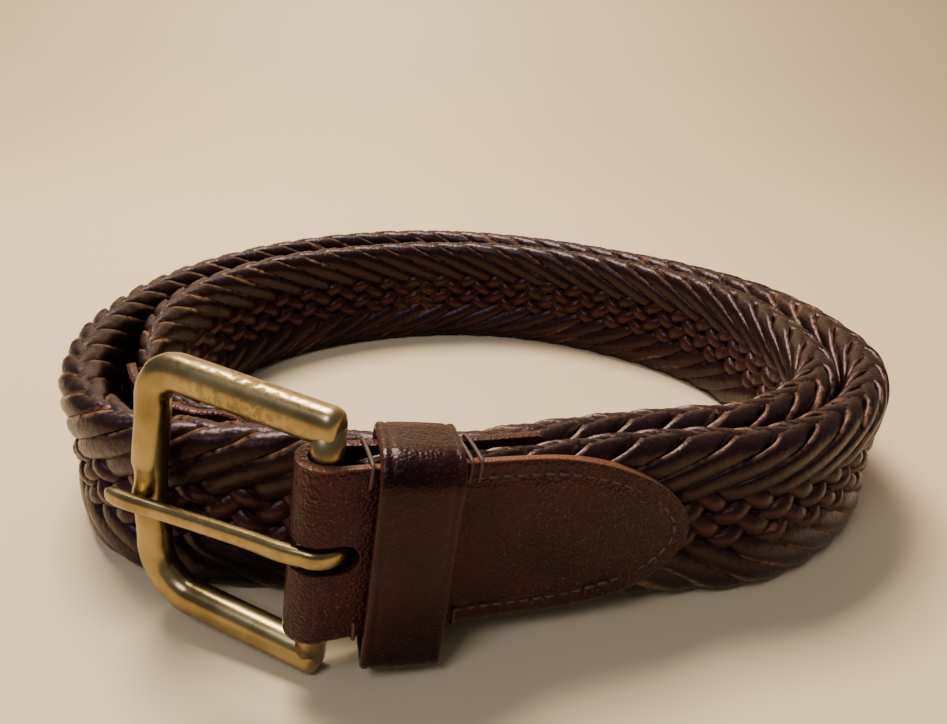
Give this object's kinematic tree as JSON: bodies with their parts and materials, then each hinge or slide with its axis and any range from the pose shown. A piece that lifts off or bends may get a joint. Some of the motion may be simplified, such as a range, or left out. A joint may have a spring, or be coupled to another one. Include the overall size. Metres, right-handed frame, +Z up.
{
  "type": "braided leather belt",
  "caption": "Braided leather belt coiled in a double loop on its edge, with a leather buckle tab, a keeper, and a brass frame buckle whose frame and prong turn on its bar.",
  "frame": {"origin": "on the ground, under the middle of the whole belt's box", "axes": "+Z up, -Y the side that the buckle is on, the buckle's free end points to -X"},
  "size_m": [0.188, 0.176, 0.0498],
  "materials": {
    "braid_leather": "matte",
    "tab_leather": "satin",
    "keeper_leather": "semi-gloss",
    "brass": "satin"
  },
  "bodies": {
    "strap": {"braided_strap": "braid_leather", "buckle_tab": "tab_leather", "keeper": "keeper_leather", "strap_tip": "tab_leather"},
    "frame": {"buckle_frame": "brass"},
    "prong": {"buckle_prong": "brass"}
  },
  "joints": [
    {"name": "frame_swing", "type": "hinge", "parent": "strap", "child": "frame", "pos_m": [-0.0236, -0.0825, 0.0245], "axis": [0.1207, 0.0452, 0.9917], "range_deg": [0, 80]},
    {"name": "prong_swing", "type": "hinge", "parent": "frame", "child": "prong", "pos_m": [-0.0236, -0.0825, 0.0245], "axis": [0.1207, 0.0452, 0.9917], "range_deg": [0, 45]}
  ]
}
